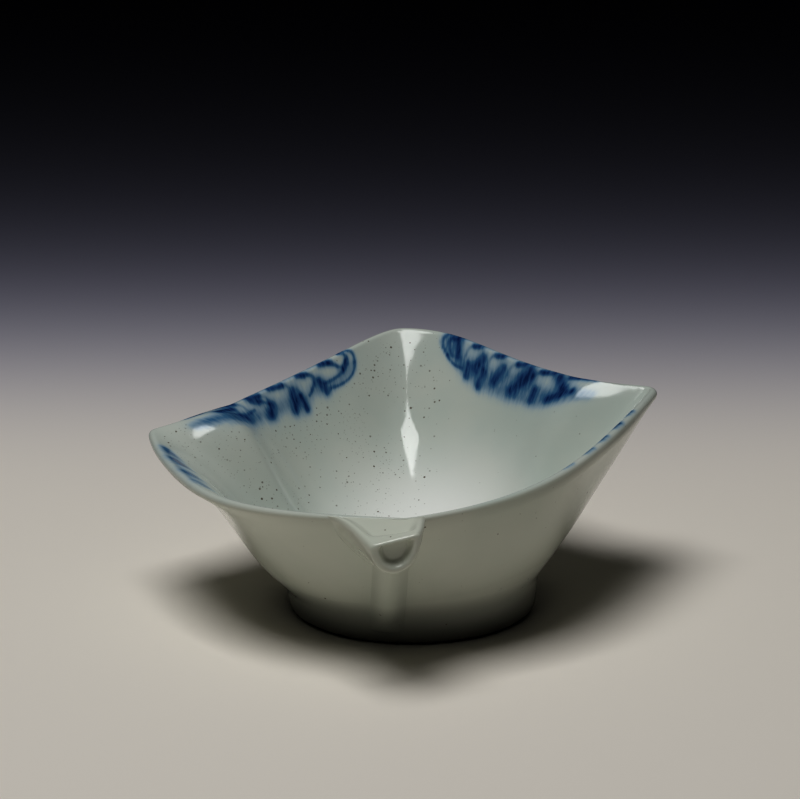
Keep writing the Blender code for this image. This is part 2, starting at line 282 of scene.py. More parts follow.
def enclosed(points, triangles):
    """Volume inside closed triangles: a sixth of the sum of corner . (corner x corner)."""
    a, b, c = (points[triangles[:, i]] for i in range(3))
    return float(np.einsum("ij,ij->i", a, np.cross(b, c)).sum() / 6)


def grid_piece(name, grid, ring=False):
    """A closed smooth mesh from rows of points in millimetres."""
    rows, columns = grid.shape[:2]
    points = grid.reshape(-1, 3)
    here = np.arange(rows * columns).reshape(rows, columns)
    aside = np.roll(here, -1, axis=1)
    if ring:
        above, above_aside = np.roll(here, -1, axis=0), np.roll(aside, -1, axis=0)
        quads = np.stack([here, aside, above_aside, above], axis=-1).reshape(-1, 4)
        caps = np.empty((0, 3), int)
    else:
        quads = np.stack([here[:-1], aside[:-1], aside[1:], here[1:]], axis=-1).reshape(-1, 4)
        points = np.vstack([points, grid[0].mean(axis=0), grid[-1].mean(axis=0)])
        first, last = np.full(columns, rows * columns), np.full(columns, rows * columns + 1)
        caps = np.vstack([np.stack([first, aside[0], here[0]], axis=1),
                          np.stack([last, here[-1], aside[-1]], axis=1)])
    volume = enclosed(points, np.vstack([quads[:, :3], quads[:, [0, 2, 3]], caps]))
    if volume < 0:
        quads, caps = quads[:, ::-1], caps[:, ::-1]
    mesh = bpy.data.meshes.new(name)
    mesh.from_pydata((points * MM).tolist(), [], quads.tolist() + caps.tolist())
    mesh.shade_smooth()
    triangles = 2 * len(quads) + len(caps)
    print(name, len(points), "points", triangles, "triangles", round(abs(volume)), "mm3")
    return add_object(name, mesh)


def store(piece, name, values):
    """Keep a number or a vector for each point of a piece. Cap points get the first row's."""
    flat = values.reshape(-1, *values.shape[2:])
    extra = len(piece.data.vertices) - len(flat)
    flat = np.concatenate([flat, np.repeat(flat[:1], extra, axis=0)]).astype(np.float32)
    kind, field = ("FLOAT_VECTOR", "vector") if values.ndim == 3 else ("FLOAT", "value")
    piece.data.attributes.new(name, kind, "POINT").data.foreach_set(field, flat.ravel())


# %% [markdown]
# ## The bowl
# The bowl is one skin: up the inside, round the lip and down the outside. It could be a sheet
# with a Solidify modifier, but an own outside gives a wall that thins evenly to the lip and a lip
# that is truly round. Columns stand closest where the rim is painted, because the paint is stored
# on the points.

# %% Bowl columns
BOWL_COLUMNS = 900
PAINT_CROWDING = 2.2
# The stretch of the rim that is painted, as distances from the tip on either side.
PAINTED = (10.0, 112.0)

steps = np.linalg.norm(np.diff(wall(fine_angle, [1.0])[0], axis=0), axis=1)
fine_length = np.concatenate([[0.0], np.cumsum(steps)])
rim_total = fine_length[-1] + fine_length[1]
tip_length = np.interp(TIP_ANGLE, fine_angle, fine_length)


def from_tip(lengths):
    """Distance from the tip along the rim, to the right above zero and to the left below."""
    return (tip_length - lengths + rim_total / 2) % rim_total - rim_total / 2


fine_place = np.abs(from_tip(fine_length))
painted = (fine_place > PAINTED[0]) & (fine_place < PAINTED[1])
crowding = np.cumsum(np.gradient(fine_length) * (1 + (PAINT_CROWDING - 1) * painted))
even = np.linspace(crowding[0], crowding[-1], BOWL_COLUMNS, endpoint=False)
columns = np.interp(even, crowding, fine_angle)
print("rim", round(rim_total, 1), "mm round, tip at", round(math.degrees(TIP_ANGLE), 1), "degrees")

# %% [markdown]
# The lip is rounded by half a circle. Rows stand closest where the paint is, and smaller rings
# close the floor.

# %% Bowl skin
BASE_THICKNESS = 5.2
LIP_THICKNESS = 1.9
# The lip thins towards the stalk: by how much, round which angle and how widely.
LIP_THINNING = (0.7, -90.0, 38.0)
# Shares of the way up where the closer rows and the lip begin.
PAINT_START, LIP_START = 0.83, 0.9875
WALL_ROWS, PAINT_ROWS, LIP_ROWS, OUTER_ROWS = 22, 46, 11, 22
DISC_PARTS = np.array([0.2, 0.45, 0.72])


def lip_thickness(angles):
    """Thickness of the lip: even, less a bell towards the stalk."""
    return LIP_THICKNESS - LIP_THINNING[0] * bell(angles, *LIP_THINNING[1:])


def outside(angles, share):
    """Outer skin: the inside moved out along its normal by a thickness that thins to the lip."""
    inner = wall(angles, share)
    thickness = between(BASE_THICKNESS, lip_thickness(angles), np.asarray(share)[:, None])
    return inner - facing(inner) * thickness[..., None]


def lip(angles):
    """The round lip, from the inside to the outside: half a circle across the thickness."""
    share = [LIP_START, 1.0]
    inner = wall(angles, share)
    rise = inner[1] - inner[0]
    rise = rise / np.linalg.norm(rise, axis=-1, keepdims=True)
    across = outside(angles, share)[1] - inner[1]
    turn = np.linspace(0.0, math.pi, LIP_ROWS)[:, None, None]
    rounding = lip_thickness(angles)[:, None] / 2
    return inner[1] + across * (1 - np.cos(turn)) / 2 + rise * rounding * (np.sin(turn) - 1)


def flat_disc(ring, parts):
    """Rings inside one ring, drawn in towards the bowl's axis by the given parts."""
    return np.stack([ring * (part, part, 1.0) for part in parts])


lower_share = np.linspace(0.0, PAINT_START, WALL_ROWS)
upper_share = np.linspace(PAINT_START, LIP_START, PAINT_ROWS)
inner_rows = wall(columns, np.concatenate([lower_share, upper_share[1:]]))
lip_rows = lip(columns)
outer_rows = outside(columns, np.linspace(0.0, LIP_START, OUTER_ROWS))[::-1]
bowl_rows = np.concatenate([
    flat_disc(inner_rows[0], DISC_PARTS),
    inner_rows,
    lip_rows[1:-1],
    outer_rows,
    flat_disc(outer_rows[-1], DISC_PARTS[::-1]),
])
standing_rows = place(bowl_rows)
bowl = grid_piece("bowl_skin", standing_rows)
low, high = (np.array(corner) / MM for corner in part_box("bowl"))
past = standing_rows.min((0, 1)) - low, standing_rows.max((0, 1)) - high
print("bowl past its solid", np.round(past, 2).tolist(), "mm")

# %% [markdown]
# ## Where the paint goes
# Paint is easiest to plan on a flat map: the distance from the tip along the rim, and the depth
# below the lip. Each point of the bowl gets its place on that map.

# %% Paint map
# Depths for the unpainted floor and outside, and for the lip's rows past its crest.
FLOOR_DEPTH, OUTSIDE_DEPTH = 99.0, -9.0
BEYOND_CREST = (-0.3, -2.0)

crest_row = LIP_ROWS // 2
first_wall = len(DISC_PARTS)
first_beyond = first_wall + len(inner_rows) + crest_row
beyond = LIP_ROWS - 2 - crest_row
column_place = from_tip(np.interp(columns, fine_angle, fine_length))
top_rows = np.concatenate([inner_rows, lip_rows[1:crest_row + 1]])
steps_up = np.linalg.norm(np.diff(top_rows, axis=0), axis=-1)
climbed = np.concatenate([np.zeros((1, len(columns))), np.cumsum(steps_up, axis=0)])
depth = np.full(bowl_rows.shape[:2], OUTSIDE_DEPTH)
depth[:first_wall] = FLOOR_DEPTH
depth[first_wall:first_beyond] = climbed[-1] - climbed
depth[first_beyond:first_beyond + beyond] = np.linspace(*BEYOND_CREST, beyond)[:, None]
along_rim = np.broadcast_to(column_place, depth.shape)
rim_place = np.stack([along_rim, depth, np.zeros_like(depth)], axis=-1)
store(bowl, "rim_place", rim_place)
print("wall from floor to lip", climbed[-1].min().round(1), "to", climbed[-1].max().round(1), "mm")

# %% [markdown]
# ## The blue border
# A border of blue panels hangs below the rim, two at the back and two in front. Each stroke is a
# curve on the flat map with a soft edge, and strokes darken one another as washes of cobalt do.

# %% Brush strokes
# Half width in millimetres and strength of a line, a dab and a wash.
LINE, DAB, WASH = (0.36, 0.60), (0.62, 0.88), (1.4, 0.34)
BRUSH_EDGE = 3.0
# Points along a stroke, and its reach in half widths.
STROKE_POINTS, STROKE_REACH = 24, 4


def bent(start, bend, end, step):
    """A curve from start to end that leans towards a bend, by quadratic Bernstein weights."""
    return (1 - step) ** 2 * start + 2 * step * (1 - step) * bend + step**2 * end


def stroke(across, below, knots, width, strength):
    """Darkness of one stroke: strength / (1 + (distance to its curved line / width)^edge)."""
    step = np.linspace(0.0, 1.0, STROKE_POINTS)[:, None]
    line = bent(*(np.array(knot) for knot in knots), step)
    dark = np.zeros_like(across)
    low, high = line.min(axis=0) - STROKE_REACH * width, line.max(axis=0) + STROKE_REACH * width
    near = (across > low[0]) & (across < high[0]) & (below > low[1]) & (below < high[1])
    apart = np.hypot(across[near][:, None] - line[:, 0], below[near][:, None] - line[:, 1])
    dark[near] = strength / (1 + (apart.min(axis=1) / width) ** BRUSH_EDGE)
    return dark


def straight(start, end):
    """Knots of a stroke without a bend."""
    return start, tuple((a + b) / 2 for a, b in zip(start, end)), end


def laid(across, below, strokes):
    """Darkness of strokes over one another: 1 less the product of what each leaves clear."""
    clear = np.ones_like(across)
    for knots, width, strength in strokes:
        clear *= 1 - stroke(across, below, knots, width, strength)
    return 1 - clear


# %% [markdown]
# ## Plans of the panels
# A back panel has a round end of two lines near the tip, dabs along the rim with a thin scale
# hanging from each, dark slanting dabs along its lower edge, and washes that run out to a point.
# A front panel is a row of short dabs. Places are in millimetres along the rim from the border's
# middle, which lies beside the tip, and below the lip.

# %% Panel plans
PANELS_MIDDLE = 1.0
# Lines and washes bend at their middle knot, rim dabs go from one place to another, and dark dabs
# have a start, an end and a half width.
LEFT_BACK = {
    "lines": (
        ((17.5, 0.3), (12.9, 0.9), (13.7, 4.0)), ((13.7, 4.0), (14.2, 7.7), (21.5, 6.4)),
        ((17.5, 0.6), (15.0, 1.6), (15.8, 3.5)), ((15.8, 3.5), (17.0, 5.3), (23.4, 4.9)),
        ((21.8, 0.9), (19.6, 2.2), (17.0, 4.0)), ((28.0, 1.2), (22.8, 2.6), (27.6, 5.6)),
        ((40.6, 2.4), (39.2, 2.8), (37.9, 4.2)), ((53.0, 4.2), (47.7, 5.6), (42.7, 3.8)),
    ),
    "rim_dabs": ((22.9, 20.5), (29.2, 27.6), (36.8, 33.6), (42.6, 40.0), (51.0, 46.5), (58.0, 55.0)),
    "dark_dabs": (
        ((24.3, 3.9), (22.8, 6.6), 0.85), ((30.0, 5.0), (29.4, 7.9), 0.75),
        ((31.4, 3.6), (32.3, 6.9), 1.15), ((37.8, 4.2), (39.1, 6.0), 1.0),
        ((42.0, 1.8), (40.7, 2.5), 0.8), ((52.6, 3.5), (48.0, 2.8), 0.85),
        ((47.8, 4.9), (46.6, 5.3), 0.7), ((16.0, 2.6), (17.2, 4.1), 0.5),
    ),
    "washes": (
        ((60.0, 5.6), (54.0, 8.0), (46.0, 5.5)), ((58.0, 5.2), (52.0, 7.0), (44.0, 5.2)),
        ((52.0, 5.6), (44.0, 4.9), (38.5, 5.4)), ((38.5, 5.4), (33.0, 4.6), (29.0, 6.2)),
        ((26.0, 5.0), (19.0, 6.4), (14.8, 4.6)),
    ),
}
RIGHT_BACK = {
    "lines": (
        ((9.8, 0.4), (6.0, 2.8), (9.2, 5.4)), ((9.2, 5.4), (10.4, 7.4), (13.4, 7.0)),
        ((10.6, 0.8), (8.4, 2.9), (10.4, 5.2)), ((40.9, 0.6), (44.0, 0.9), (47.3, 0.7)),
    ),
    "rim_dabs": ((10.9, 12.2), (16.3, 18.0), (22.6, 24.4), (28.6, 30.4), (34.8, 37.8), (41.5, 46.5)),
    "dark_dabs": (
        ((11.7, 1.2), (12.0, 4.9), 0.75), ((15.3, 5.6), (14.9, 8.2), 0.75),
        ((19.0, 3.0), (17.3, 6.0), 1.1), ((19.8, 5.6), (18.8, 9.0), 0.9),
        ((25.0, 3.3), (23.1, 6.7), 1.1), ((31.7, 1.7), (30.4, 4.0), 1.2),
        ((32.6, 2.8), (28.1, 7.0), 0.9), ((34.3, 5.3), (34.1, 7.4), 0.8),
        ((38.9, 1.7), (41.3, 4.4), 1.1), ((43.6, 4.7), (38.0, 6.6), 0.8),
    ),
    "washes": (
        ((14.8, 7.2), (22.0, 9.0), (29.0, 7.2)), ((28.5, 7.2), (37.0, 7.6), (47.5, 5.0)),
        ((9.4, 1.2), (8.6, 4.2), (13.6, 6.6)), ((16.5, 5.4), (23.0, 6.0), (31.0, 4.4)),
        ((31.0, 4.4), (35.0, 6.0), (41.0, 5.2)), ((11.8, 1.0), (11.6, 3.0), (12.6, 5.0)),
    ),
}
# Front dabs: place along the rim, depth below the lip, strength and half width. Washes: two ends.
LEFT_FRONT = ((74.0, 3.3, 0.62, 1.0), (79.6, 3.7, 0.9, 1.05),
              (86.6, 3.5, 0.6, 1.1), (92.4, 3.1, 0.45, 1.0))
LEFT_FRONT_WASH = ((75.0, 2.6), (95.0, 2.8))
RIGHT_FRONT = ((73.5, 1.4, 0.7, 0.75), (80.2, 1.5, 0.95, 0.8), (87.3, 1.4, 0.65, 0.8),
               (93.4, 1.2, 0.5, 0.75), (101.0, 0.9, 0.3, 0.7))
print("back panels", [[len(marks) for marks in plan.values()] for plan in (LEFT_BACK, RIGHT_BACK)])

# %% [markdown]
# ## Painting the border
# Now the plans become strokes. Each rim dab gets a scale, which bends towards the tip, and a tail
# along the lip. The dark dabs differ in strength, and each front dab drags a paler trail.

# %% Painting
# Depths of a rim dab's ends, knots of its scale, and reach and depths of its tail. Scale and tail
# have a part of a line's strength.
DAB_DEPTHS = (1.0, 1.5)
SCALE, SCALE_PART = ((0.0, 1.5), (-1.8, 1.8), (-2.2, 4.2)), 0.5
TAIL_REACH, TAIL_DEPTHS, TAIL_PART = 3.0, (0.5, 0.5, 0.8), 0.4
DARK_STRENGTHS = (0.75, 0.95)
# Both ends of a front dab and of its trail: step along the rim, and part of the dab's depth.
FRONT_DAB = ((-1.0, 0.75), (1.2, 1.0))
FRONT_TRAIL = ((1.0, 1.0), (2.6, 1.35))
TRAIL_PART, FRONT_WASH_PART = 0.35, 0.6
rng = np.random.default_rng(7)


def back_strokes(plan):
    """Strokes of one back panel, each as knots, half width and strength."""
    strokes = [(knots, *LINE) for knots in plan["lines"]]
    strokes += [(knots, *WASH) for knots in plan["washes"]]
    for ends in plan["rim_dabs"]:
        near, far = min(ends), max(ends)
        dab = straight((far, DAB_DEPTHS[0]), (near, DAB_DEPTHS[1]))
        scale = tuple((near + step, deep) for step, deep in SCALE)
        tail = tuple(zip((far + TAIL_REACH, far, near), TAIL_DEPTHS))
        strokes.append((dab, *DAB))
        strokes.append((scale, LINE[0], SCALE_PART * LINE[1]))
        strokes.append((tail, LINE[0], TAIL_PART * LINE[1]))
    for start, end, width in plan["dark_dabs"]:
        strokes.append((straight(start, end), width, rng.uniform(*DARK_STRENGTHS)))
    return strokes


def front_strokes(plan, wash=None):
    """Strokes of one front panel: short dabs with a paler trail, over a faint wash if one is given."""
    strokes = [(straight(*wash), WASH[0], FRONT_WASH_PART * WASH[1])] if wash else []
    for along, deep, strength, width in plan:
        for ends, part in ((FRONT_DAB, 1.0), (FRONT_TRAIL, TRAIL_PART)):
            start, end = ((along + step, deep * share) for step, share in ends)
            strokes.append((straight(start, end), width, part * strength))
    return strokes


across = rim_place[..., 0] - PANELS_MIDDLE
distance, on_left = np.abs(across), across < 0
left_strokes = back_strokes(LEFT_BACK) + front_strokes(LEFT_FRONT, LEFT_FRONT_WASH)
right_strokes = back_strokes(RIGHT_BACK) + front_strokes(RIGHT_FRONT)
cobalt = np.where(on_left, laid(distance, depth, left_strokes), laid(distance, depth, right_strokes))
store(bowl, "cobalt", cobalt)
print(len(left_strokes + right_strokes), "strokes, darkest", cobalt.max().round(3))

# %% [markdown]
# ## A map of the outer skin
# The foot, the rib and the stalk all grow out of the bowl's outside, so they need to know where
# it is. A table of its radius and height about the foot's axis answers that, read by straight
# steps.

# %% Outer skin table
TABLE_ANGLES, TABLE_SHARES = 720, 80
# How many steps past its ends the table is drawn out, and the least step.
TABLE_BEYOND, LEAST_STEP = 3.0, 1e-6
table_angle = np.linspace(-math.pi, math.pi, TABLE_ANGLES, endpoint=False)
table_share = np.linspace(0.0, 1.0, TABLE_SHARES)


def about_foot(points):
    """Angle, radius and height of points about the foot's axis."""
    x, y, height = np.moveaxis(points - foot_centre, -1, 0)
    return np.arctan2(y, x), np.hypot(x, y), height.copy()


def from_foot(angle, radius, height):
    """Points at an angle, radius and height about the foot's axis."""
    return np.stack([radius * np.cos(angle), radius * np.sin(angle), height], axis=-1) + foot_centre


skin_angle, *skin = about_foot(place(outside(fine_angle, table_share)))
table_radius, table_height = (
    np.stack([np.interp(table_angle, *row, period=FULL_TURN) for row in zip(skin_angle, values)])
    for values in skin
)
print("outer skin from", table_height.min().round(1), "to", table_height.max().round(1), "mm up")


def read_table(angle, known, known_table, sought_table):
    """The sought value where a known one lies, on the two nearest table columns, blended by angle."""
    angle, known = np.broadcast_arrays(angle, known)
    spot = (angle.ravel() + math.pi) / FULL_TURN * TABLE_ANGLES
    left = np.floor(spot).astype(int)
    found = 0.0
    for column, weight in ((left, 1 - (spot - left)), (left + 1, spot - left)):
        column = column % TABLE_ANGLES
        levels, answers = known_table[:, column], sought_table[:, column]
        above = np.clip((levels < known.ravel()).sum(axis=0), 1, len(levels) - 1)
        each = np.arange(len(column))
        low, high = levels[above - 1, each], levels[above, each]
        part = np.clip((known.ravel() - low) / np.maximum(high - low, LEAST_STEP), 0.0, TABLE_BEYOND)
        found = found + weight * between(answers[above - 1, each], answers[above, each], part)
    return found.reshape(angle.shape)


def skin_reach(angle, height):
    """Radius of the outer skin at an angle and height."""
    return read_table(angle, height, table_height, table_radius)


def skin_level(angle, radius):
    """Height of the outer skin at an angle and radius."""
    return read_table(angle, radius, table_radius, table_height)


# %% [markdown]
# ## The foot ring
# The foot was turned on a wheel: slightly narrower at the bottom, with a worn round edge. Slip
# and glaze fill the corner where it meets the bowl. A smooth maximum of the two radii gives that
# fillet: it equals the larger one away from the corner and bulges out by a parabola near it. The
# top of the ring stays hidden in the clay.

# %% Foot ring
FOOT_BASE_RADIUS = 23.05
FOOT_TOP_RADIUS = 23.8
FOOT_INNER_RADIUS = 19.4
FOOT_TAPER_HEIGHT = 9.0
FOOT_ROUNDING = 1.3
FOOT_INNER_ROUNDING = 0.7
FOOT_FILLET = 3.6
FOOT_COLUMNS = 360
# The fillet's end sinks a hair into the bowl, and the ring's top lies deeper.
FOOT_SINK, SINK_ORDER, HIDDEN_DEPTH = 0.04, 8, 0.9
# Where the bowl's outside starts to count, and heights tried for the fillet's end.
SKIN_START, FILLET_TRIES = 1.0, (3.0, 16.0, 200)
# Inside the ring: how far its hidden top and a curve below it reach in, and the curve's heights.
TOP_INSET, CURVE_INSETS = 1.0, (1.8, 0.4)
CURVE_START, CURVE_DROP = 0.05, 1.6
SIDE_ROWS, CURVE_ROWS, EDGE_ROWS = 26, 8, 7


def foot_side(height):
    """Radius of the foot's outer side: even from its base up to its top."""
    return between(FOOT_BASE_RADIUS, FOOT_TOP_RADIUS, height / FOOT_TAPER_HEIGHT)


def body_reach(angle, height):
    """Radius of foot and bowl together: the larger, plus (fillet - difference)^2 / (4 x fillet)."""
    foot, skin = foot_side(height), skin_reach(angle, height)
    skin = np.where(height < table_height.min() + SKIN_START, 0.0, skin)
    gap = np.clip(FOOT_FILLET - np.abs(foot - skin), 0.0, None)
    return np.maximum(foot, skin) + gap**2 / (4 * FOOT_FILLET)


foot_angle = np.linspace(-math.pi, math.pi, FOOT_COLUMNS, endpoint=False)


def even_row(radius, height):
    """One row round the foot at an even radius."""
    return from_foot(foot_angle, np.full(FOOT_COLUMNS, radius), height + np.zeros(FOOT_COLUMNS))


def skin_over(radius):
    """Heights of the bowl's outside round the foot at an even radius."""
    return skin_level(foot_angle, np.full(FOOT_COLUMNS, radius))


tries = np.linspace(*FILLET_TRIES)[:, None]
short = (skin_reach(foot_angle, tries + 0 * foot_angle) - foot_side(tries)) < FOOT_FILLET
foot_top = tries[np.clip(short.sum(axis=0), 0, len(tries) - 1), 0]
rows = []
for part in np.linspace(0.0, 1.0, SIDE_ROWS):
    height = between(FOOT_ROUNDING, foot_top, part)
    reach = body_reach(foot_angle, height) - FOOT_SINK * part**SINK_ORDER
    rows.append(from_foot(foot_angle, reach, height))
for radius in (FOOT_TOP_RADIUS, FOOT_INNER_RADIUS - TOP_INSET):
    rows.append(even_row(radius, skin_over(radius) + HIDDEN_DEPTH))
curve_radii = [FOOT_INNER_RADIUS - inset for inset in (*CURVE_INSETS, 0.0)]
bend_height = skin_over(curve_radii[1])
curve_heights = (skin_over(curve_radii[0]) + CURVE_START, bend_height, bend_height - CURVE_DROP)
for part in np.linspace(0.0, 1.0, CURVE_ROWS):
    rows.append(even_row(bent(*curve_radii, part), bent(*curve_heights, part)))
edges = ((FOOT_INNER_RADIUS + FOOT_INNER_ROUNDING, FOOT_INNER_ROUNDING, math.pi, 1.5 * math.pi),
         (foot_side(FOOT_ROUNDING) - FOOT_ROUNDING, FOOT_ROUNDING, 1.5 * math.pi, FULL_TURN))
for middle, rounding, start, stop in edges:
    for turn in np.linspace(start, stop, EDGE_ROWS):
        rows.append(even_row(middle + rounding * math.cos(turn), rounding * (1 + math.sin(turn))))
foot_ring = grid_piece("foot_ring_skin", np.stack(rows[:-1]), ring=True)
print("fillet ends at", foot_top.min().round(2), "to", foot_top.max().round(2), "mm up")

# %% [markdown]
# ## The rib
# Below the stalk a half-round rib runs down the wall and over the foot, like the midrib of a
# leaf. It is a low bump laid on the body: a strip of the body's own surface, raised along its
# normal by a smooth curve across its width, with its edges sunk a hair under the skin so that no
# step shows.

# %% Rib
# Height over the table and middle line of the rib, at its top and at its foot.
RIB_HEIGHTS = (26.5, 2.4)
RIB_MIDDLE = (-3.4, -4.6)
RIB_HALF_WIDTH = 3.4
RIB_RELIEF = 1.9
RIB_RUN_OUT = 0.28
RIB_SINK = 0.12
RIB_FULLNESS = 1.3
# The hidden back lies this deep, with one point for so many in front.
RIB_BACK, BACK_THINNING = 0.9, 4
RIB_ROWS, RIB_POINTS = 90, 41
# The rib's angles and the body's radius depend on each other, so they are found in turn.
REACH_GUESS, REACH_TURNS = 30.0, 4

rib_part = np.linspace(0.0, 1.0, RIB_ROWS)[:, None]
rib_across = np.linspace(-1.0, 1.0, RIB_POINTS)
rib_x = between(*RIB_MIDDLE, rib_part) + RIB_HALF_WIDTH * rib_across
rib_height = between(*RIB_HEIGHTS, rib_part) + 0 * rib_x
reach = np.full(rib_x.shape, REACH_GUESS)
for _ in range(REACH_TURNS):
    rib_angle = -math.pi / 2 + np.arcsin(rib_x / reach)
    reach = body_reach(rib_angle, rib_height)
strip = from_foot(rib_angle, reach, rib_height)
outward = facing(strip, closed=False)
outward *= np.sign(-outward[..., 1:2])
run_out = np.sqrt(1 - np.clip(1 - (1 - rib_part) / RIB_RUN_OUT, 0.0, 1.0) ** 2)
bump = RIB_RELIEF * run_out * (1 - rib_across**2) ** RIB_FULLNESS - RIB_SINK
front = strip + outward * bump[..., None]
back = (strip - outward * RIB_BACK)[:, ::-BACK_THINNING]
rib = grid_piece("stalk_rib_skin", np.concatenate([front, back], axis=1))

# %% [markdown]
# ## The stalk stub
# The stub of stalk runs out of the rim like a small closed spout. Two curves guide its side lips
# from the rim to its end. Between them lies a shallow trough, closed in front by a lip of its
# own. The underside is round.

# %% Stub sections
STUB_LEFT = ((-14.6, -36.5, 30.6), (-11.8, -37.6, 30.9), (-9.5, -41.5, 30.4), (-6.2, -47.2, 29.0))
STUB_RIGHT = ((3.9, -38.0, 30.3), (3.8, -41.0, 30.6), (3.6, -43.0, 30.4), (2.8, -44.8, 30.0))
# Depth of the underside and part of the width that it keeps, at root and end.
STUB_DEPTHS = (11.0, 6.6)
STUB_BELLY = (0.55, 1.0)
STUB_LIP = 0.9
STUB_TROUGH = 1.1
TROUGH_SLOPE = (0.9, 3.0)
ROOT_RISE = 8.0
STUB_ROWS, STUB_POINTS = 90, 160


def smooth_step(value, low, high):
    """0 below low, 1 above high and 3t^2 - 2t^3 between them, t being the part of the way."""
    part = np.clip((value - low) / (high - low), 0.0, 1.0)
    return part * part * (3 - 2 * part)


def stub_section(turn, depth, belly, half_width, from_root, from_end):
    """One section: across (-1 to 1) and below the top edge in millimetres, as the turn runs round it.

    The lower half is half an ellipse, drawn in by the belly. The upper half rounds over each lip by
    a quarter circle, then falls into a trough that starts a little inside the side lips, the rim
    and the front lip.
    """
    across = np.cos(turn)
    lower, upper = np.clip(np.sin(turn), 0.0, None), np.sin(turn) < 0
    from_edge = (1 - np.abs(across)) * half_width
    over = np.clip(1 - from_edge / STUB_LIP, 0.0, 1.0)
    round_over = STUB_LIP * (1 - np.sqrt(1 - over**2))
    trough = smooth_step(from_edge, *TROUGH_SLOPE) * smooth_step(from_end, *TROUGH_SLOPE)
    trough = STUB_TROUGH * trough * smooth_step(from_root, 0.0, ROOT_RISE)
    below = np.where(upper, round_over + trough, STUB_LIP + (depth - STUB_LIP) * lower)
    return across * (1 - (1 - belly) * lower), below


stub_part = np.linspace(0.0, 1.0, STUB_ROWS)[:, None]
stub_turn = np.linspace(0.0, FULL_TURN, STUB_POINTS, endpoint=False)
left, right = cubic(STUB_LEFT, STUB_ROWS), cubic(STUB_RIGHT, STUB_ROWS)
middle, half = (left + right) / 2, (right - left) / 2
stub_depth, stub_belly = between(*STUB_DEPTHS, stub_part), between(*STUB_BELLY, stub_part)
half_width = np.linalg.norm(half, axis=1)[:, None]
from_root, from_end = (np.linalg.norm(middle - middle[i], axis=1)[:, None] for i in (0, -1))
across, below = stub_section(stub_turn, stub_depth, stub_belly, half_width, from_root, from_end)
down = np.array((0.0, 0.0, -1.0))
stub_rows = middle[:, None] + half[:, None] * across[..., None] + down * below[..., None]
print("stub", from_root.max().round(1), "mm long")

# %% [markdown]
# Rings that shrink towards the middle close the end. The first ones round its edge by a quarter
# circle, and the others sink into a shallow dish.

# %% Stub end
STUB_ROUNDING = 0.9
STUB_DISH = 1.5
DISH_SLOPE = (0.04, 0.42)
DISH_MIDDLE = 0.06
ROUND_RINGS, DISH_RINGS = 8, 18

end_ring = stub_rows[-1]
end_middle = end_ring.mean(axis=0)
end_way = np.cross(half[-1], down)
end_way = end_way / np.linalg.norm(end_way) * np.sign(-end_way[1])
spokes = end_ring - end_middle
end_size = np.linalg.norm(spokes, axis=1).mean()
end_rows = []
for turn in np.linspace(0.0, math.pi / 2, ROUND_RINGS)[1:]:
    shrunk = spokes * (1 - STUB_ROUNDING * (1 - math.cos(turn)) / end_size)
    end_rows.append(end_middle + shrunk + end_way * STUB_ROUNDING * math.sin(turn))
for part in np.linspace(1.0, DISH_MIDDLE, DISH_RINGS)[1:]:
    shrunk = spokes * (1 - STUB_ROUNDING / end_size) * part
    dish = STUB_DISH * smooth_step(1 - part, *DISH_SLOPE)
    end_rows.append(end_middle + shrunk + end_way * (STUB_ROUNDING - dish))
print("end of the stub", end_middle.round(1), "mm")

# %% [markdown]
# The root is pulled on to the wall, so that it lies inside the clay. Where the underside leaves
# the wall it swells by a quarter circle, which makes a fillet. The root's cap follows the wall:
# its rings shrink in angle and height, always at the same depth in the clay.

# %% Stub root
ROOT_DEPTH = 0.5
STUB_FILLET = 0.35
# The fillet is full this far below the stub's edge, and the wall's slope shortens distances.
FILLET_FULL, WALL_SLOPE = 5.0, 0.8
CAP_MIDDLE, CAP_RINGS = 0.08, 12

stub_rows = place(np.concatenate([stub_rows, np.stack(end_rows)]))
angle, radius, height = about_foot(stub_rows)
wall_reach = skin_reach(angle, height)
radius[:STUB_ROWS] += (1 - stub_part) ** 2 * (wall_reach - ROOT_DEPTH - radius)[:STUB_ROWS]
stub_rows = from_foot(angle, radius, height)
clearance = (radius - wall_reach) * WALL_SLOPE
print("stub stands out of the skin by up to", clearance.max().round(2), "mm")
outward = facing(stub_rows)
from_middle = stub_rows - stub_rows.mean(axis=1, keepdims=True)
outward *= np.sign(np.einsum("ijk,ijk->ij", outward, from_middle))[..., None]
into = np.clip(STUB_FILLET - clearance, 0.0, STUB_FILLET)
swell = STUB_FILLET - np.sqrt(STUB_FILLET**2 - into**2)
swell[:STUB_ROWS] *= smooth_step(below, STUB_LIP, FILLET_FULL) * (np.sin(stub_turn) > 0)
swell[STUB_ROWS:] = 0.0
stub_rows = stub_rows + outward * swell[..., None]
shrink = np.linspace(CAP_MIDDLE, 1.0, CAP_RINGS, endpoint=False)[:, None]
cap_angle, cap_height = (v[0].mean() + shrink * (v[0] - v[0].mean()) for v in (angle, height))
cap = from_foot(cap_angle, skin_reach(cap_angle, cap_height) - ROOT_DEPTH, cap_height)
stub = grid_piece("stalk_stub_skin", np.concatenate([cap, stub_rows]))

# %% [markdown]
# ## Mixing the glaze
# The glaze is a thin glassy coat with a faint blue-green cast. It is worked out from object
# coordinates, so it runs on from one piece to the next. A helper adds and joins shader nodes.

